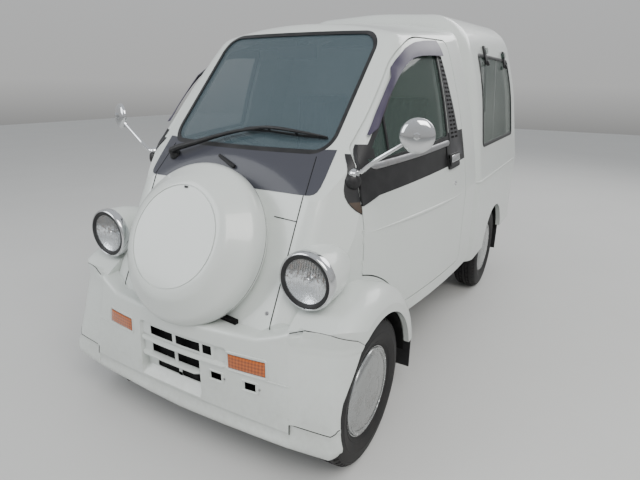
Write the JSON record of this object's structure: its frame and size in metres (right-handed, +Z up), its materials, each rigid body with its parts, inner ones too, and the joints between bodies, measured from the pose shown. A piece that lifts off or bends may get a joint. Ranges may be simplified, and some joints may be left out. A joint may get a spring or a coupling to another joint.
{
  "type": "kei truck",
  "caption": "Very small one-box truck with round headlamps on pods, a spare wheel cover on its nose and a closed load box with side windows.",
  "frame": {"origin": "on the ground, in the middle of the body's length and width", "axes": "+X forward, +Y to the vehicle's left, +Z up"},
  "size_m": [2.7948, 1.473, 1.7029],
  "materials": {
    "white_paint": "gloss",
    "blue_grey_paint": "satin",
    "black_trim": "satin",
    "seat_cloth": "woven",
    "glass": "gloss",
    "amber_lens": "gloss",
    "red_lens": "gloss",
    "chrome": "polished",
    "black_steel": "satin",
    "bare_metal": "rough",
    "wheel_metal": "polished",
    "tyre": "matte"
  },
  "bodies": {
    "body": {"box_shell": "white_paint", "cab_floor": "white_paint", "cab_shell": "white_paint", "corner_trims": "black_trim", "cowl_panel": "blue_grey_paint", "dashboard": "black_trim", "engine": "bare_metal", "exhaust": "bare_metal", "fender_left": "white_paint", "fender_right": "white_paint", "frame": "black_steel", "front_bumper": "white_paint", "front_indicators": "amber_lens", "front_suspension": "black_steel", "fuel_tank": "black_steel", "headlamp_pods": "white_paint", "headlamps": "chrome", "leaf_springs": "black_steel", "load_floor": "white_paint", "mirrors": "chrome", "mudflaps": "black_trim", "nose_panel": "white_paint", "quarter_windows": "glass", "rear_axle": "black_steel", "rear_bumper": "white_paint", "rear_lamps": "red_lens", "seats": "seat_cloth", "spare_wheel_cover": "white_paint", "steering_column": "black_trim", "tow_hook": "black_steel", "windscreen": "glass", "windscreen_seal": "black_trim", "wiper": "black_trim"},
    "door_left": {"door_left": "white_paint", "door_glass_left": "glass", "door_trim_left": "black_trim"},
    "door_right": {"door_right": "white_paint", "door_glass_right": "glass", "door_trim_right": "black_trim"},
    "tailgate": {"tailgate": "white_paint", "tailgate_glass": "glass"},
    "knuckle_left": {"knuckle_left": "black_steel"},
    "knuckle_right": {"knuckle_right": "black_steel"},
    "wheel_front_left": {"wheel_front_left": "wheel_metal", "tyre_front_left": "tyre"},
    "wheel_front_right": {"wheel_front_right": "wheel_metal", "tyre_front_right": "tyre"},
    "wheel_rear_left": {"wheel_rear_left": "wheel_metal", "tyre_rear_left": "tyre"},
    "wheel_rear_right": {"wheel_rear_right": "wheel_metal", "tyre_rear_right": "tyre"},
    "steering_wheel": {"steering_wheel": "black_trim"}
  },
  "joints": [
    {"name": "steer_left", "type": "hinge", "parent": "body", "child": "knuckle_left", "pos_m": [1.025, 0.52, 0.152], "axis": [0, -0.1438, 0.9896], "range_deg": [-28, 28]},
    {"name": "steer_right", "type": "hinge", "parent": "body", "child": "knuckle_right", "pos_m": [1.025, -0.52, 0.152], "axis": [0, 0.1438, 0.9896], "range_deg": [-28, 28]},
    {"name": "steering_wheel_turn", "type": "hinge", "parent": "body", "child": "steering_wheel", "pos_m": [0.64, -0.23, 0.985], "axis": [-0.6198, 0, 0.7848], "range_deg": [-420, 420]},
    {"name": "door_left_swing", "type": "hinge", "parent": "body", "child": "door_left", "pos_m": [0.9345, 0.52, 0.7], "axis": [0, 0, -1], "range_deg": [0, 60]},
    {"name": "door_right_swing", "type": "hinge", "parent": "body", "child": "door_right", "pos_m": [0.9345, -0.52, 0.7], "axis": [0, 0, 1], "range_deg": [0, 60]},
    {"name": "tailgate_lift", "type": "hinge", "parent": "body", "child": "tailgate", "pos_m": [-1.384, 0, 1.574], "axis": [0, 1, 0], "range_deg": [0, 80]},
    {"name": "spin_front_left", "type": "hinge", "parent": "knuckle_left", "child": "wheel_front_left", "pos_m": [1.025, 0.545, 0.268], "axis": [0, 1, 0], "continuous": true},
    {"name": "spin_front_right", "type": "hinge", "parent": "knuckle_right", "child": "wheel_front_right", "pos_m": [1.025, -0.545, 0.268], "axis": [0, 1, 0], "continuous": true},
    {"name": "spin_rear_left", "type": "hinge", "parent": "body", "child": "wheel_rear_left", "pos_m": [-0.815, 0.545, 0.268], "axis": [0, 1, 0], "continuous": true},
    {"name": "spin_rear_right", "type": "hinge", "parent": "body", "child": "wheel_rear_right", "pos_m": [-0.815, -0.545, 0.268], "axis": [0, 1, 0], "continuous": true}
  ],
  "couplings": [
    {"joint": "steer_right", "follows": "steer_left", "ratio": 1},
    {"joint": "steering_wheel_turn", "follows": "steer_left", "ratio": 15}
  ]
}
